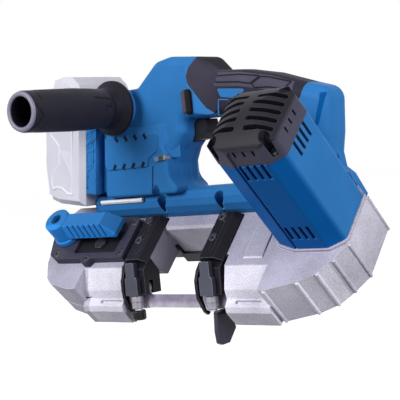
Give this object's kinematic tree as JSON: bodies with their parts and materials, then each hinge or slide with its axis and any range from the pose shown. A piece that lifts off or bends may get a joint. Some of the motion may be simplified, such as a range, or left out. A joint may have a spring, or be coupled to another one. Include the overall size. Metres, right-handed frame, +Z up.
{
  "type": "cordless band saw",
  "caption": "Hand-held cordless band saw with a tilted wheel frame, D handle, side handle, slanted motor housing, blade tension lever, twin blade guides and a slide-on battery pack.",
  "frame": {"origin": "middle of the cutting run of the band, half way up the band's width", "axes": "+X along the cut towards the drive wheel and motor, +Y away from the side handle, +Z up away from the teeth"},
  "size_m": [0.3515, 0.192, 0.2612],
  "materials": {
    "cast_frame": "silver paint over a cast skin",
    "blue_shell": "fine moulded grain",
    "black_shell": "fine moulded grain",
    "black_grip": "soft, textured",
    "black_steel": "satin black coat",
    "grey_steel": "satin",
    "bright_steel": "ground and polished",
    "band_steel": "rolled strip",
    "wheel_alloy": "turned",
    "tyre_rubber": "smooth",
    "gear_steel": "oiled",
    "pack_shell": "pale moulded grain",
    "contact": "bright",
    "board": "lacquered",
    "lens": "clear",
    "magnet": "ground"
  },
  "bodies": {
    "frame": {"frame_casting": "cast_frame", "back_cover": "black_shell", "back_cover_screws": "black_steel", "saw_band": "band_steel", "shaft_bearings": "bright_steel", "gearbox_plate": "wheel_alloy", "cluster_pin": "gear_steel", "tension_cover": "black_shell", "face_screws": "black_steel", "pivot_bolt": "black_steel", "guide_arms": "black_steel", "guide_heads": "black_steel", "guide_fingers": "grey_steel", "guide_shields": "black_steel", "roller_pins": "gear_steel", "front_guide_cap": "black_steel", "work_stop": "black_steel", "body_shell_left": "blue_shell", "body_shell_right": "blue_shell", "grip_overmould": "black_grip", "trigger_switch": "black_shell", "control_board": "board", "led_lens": "lens", "hex_key": "bright_steel", "battery_shoe": "blue_shell", "battery_terminals": "contact", "aux_handle": "black_grip", "aux_handle_bolt": "gear_steel", "motor_housing": "blue_shell", "motor_cap": "black_shell", "motor_cap_screws": "black_steel", "motor_can": "grey_steel", "motor_magnets": "magnet"},
    "drive_wheel_set": {"drive_wheel": "wheel_alloy", "drive_tyre": "tyre_rubber", "drive_shaft": "gear_steel", "drive_gear": "gear_steel", "wheel_bolt": "black_steel"},
    "cluster": {"cluster_gear": "gear_steel"},
    "rotor_set": {"rotor": "gear_steel", "motor_pinion": "gear_steel", "cooling_fan": "black_shell"},
    "tensioner": {"tension_slide": "grey_steel", "axle_clip": "gear_steel"},
    "idler_wheel_set": {"idler_wheel": "wheel_alloy", "idler_tyre": "tyre_rubber", "idler_bearing": "bright_steel"},
    "lever": {"tension_lever": "blue_shell", "lever_shaft": "gear_steel"},
    "trigger_paddle": {"trigger": "black_shell"},
    "lock_bar": {"lock_button": "black_shell"},
    "battery": {"battery_pack": "pack_shell"},
    "latch": {"battery_latch": "pack_shell"},
    "front_outer": {"front_outer_roller": "bright_steel"},
    "front_inner": {"front_inner_roller": "bright_steel"},
    "front_thrust": {"front_thrust_roller": "bright_steel"},
    "rear_outer": {"rear_outer_roller": "bright_steel"},
    "rear_inner": {"rear_inner_roller": "bright_steel"},
    "rear_thrust": {"rear_thrust_roller": "bright_steel"}
  },
  "joints": [
    {"name": "drive_spin", "type": "hinge", "parent": "frame", "child": "drive_wheel_set", "pos_m": [0.1224, 0.03085, 0.03085], "axis": [0, -0.7071, 0.7071], "continuous": true},
    {"name": "cluster_spin", "type": "hinge", "parent": "frame", "child": "cluster", "pos_m": [0.1476, 0.03096, 0.03096], "axis": [0, -0.7071, 0.7071], "continuous": true},
    {"name": "rotor_spin", "type": "hinge", "parent": "frame", "child": "rotor_set", "pos_m": [0.1495, 0.04561, 0.04561], "axis": [0, -0.7071, 0.7071], "continuous": true},
    {"name": "lever_swing", "type": "hinge", "parent": "frame", "child": "lever", "pos_m": [-0.1385, 0.03818, 0.03818], "axis": [0, -0.7071, 0.7071], "range_deg": [-180, 0]},
    {"name": "tension_slide_move", "type": "slide", "parent": "frame", "child": "tensioner", "axis": [1, 0, 0], "range_m": [0, 0.006]},
    {"name": "idler_spin", "type": "hinge", "parent": "tensioner", "child": "idler_wheel_set", "pos_m": [-0.109, 0.03085, 0.03085], "axis": [0, -0.7071, 0.7071], "continuous": true},
    {"name": "trigger_press", "type": "slide", "parent": "frame", "child": "trigger_paddle", "axis": [-1, 0, 0], "range_m": [0, 0.006], "stiffness_N_per_m": 500, "springref_m": -0.004},
    {"name": "lock_press", "type": "slide", "parent": "frame", "child": "lock_bar", "axis": [0, 1, 0], "range_m": [0, 0.004], "stiffness_N_per_m": 500, "springref_m": -0.004},
    {"name": "battery_slide", "type": "slide", "parent": "frame", "child": "battery", "axis": [0.1392, 0, 0.9903], "range_m": [0, 0.09]},
    {"name": "latch_press", "type": "slide", "parent": "battery", "child": "latch", "axis": [0.9903, 0, -0.1392], "range_m": [0, 0.003], "stiffness_N_per_m": 500, "springref_m": -0.003},
    {"name": "front_outer_spin", "type": "hinge", "parent": "frame", "child": "front_outer", "pos_m": [-0.0396, -0.00622, 0], "axis": [0, 0, 1], "continuous": true},
    {"name": "front_inner_spin", "type": "hinge", "parent": "frame", "child": "front_inner", "pos_m": [-0.0396, 0.00622, 0], "axis": [0, 0, 1], "continuous": true},
    {"name": "front_thrust_spin", "type": "hinge", "parent": "frame", "child": "front_thrust", "pos_m": [-0.0341, 0, 0.01245], "axis": [0, 1, 0], "continuous": true},
    {"name": "rear_outer_spin", "type": "hinge", "parent": "frame", "child": "rear_outer", "pos_m": [0.0488, -0.00622, 0], "axis": [0, 0, 1], "continuous": true},
    {"name": "rear_inner_spin", "type": "hinge", "parent": "frame", "child": "rear_inner", "pos_m": [0.0488, 0.00622, 0], "axis": [0, 0, 1], "continuous": true},
    {"name": "rear_thrust_spin", "type": "hinge", "parent": "frame", "child": "rear_thrust", "pos_m": [0.0543, 0, 0.01245], "axis": [0, 1, 0], "continuous": true}
  ],
  "couplings": [
    {"joint": "cluster_spin", "follows": "drive_spin", "ratio": -3.6667},
    {"joint": "rotor_spin", "follows": "drive_spin", "ratio": 12.222},
    {"joint": "idler_spin", "follows": "drive_spin", "ratio": 1},
    {"joint": "lever_swing", "follows": "tension_slide_move", "rad_per_m": -523.6},
    {"joint": "front_outer_spin", "follows": "drive_spin", "ratio": -7.5216},
    {"joint": "front_inner_spin", "follows": "drive_spin", "ratio": 7.5216},
    {"joint": "front_thrust_spin", "follows": "drive_spin", "ratio": -7.2708},
    {"joint": "rear_outer_spin", "follows": "drive_spin", "ratio": -7.5216},
    {"joint": "rear_inner_spin", "follows": "drive_spin", "ratio": 7.5216},
    {"joint": "rear_thrust_spin", "follows": "drive_spin", "ratio": -7.2708}
  ]
}
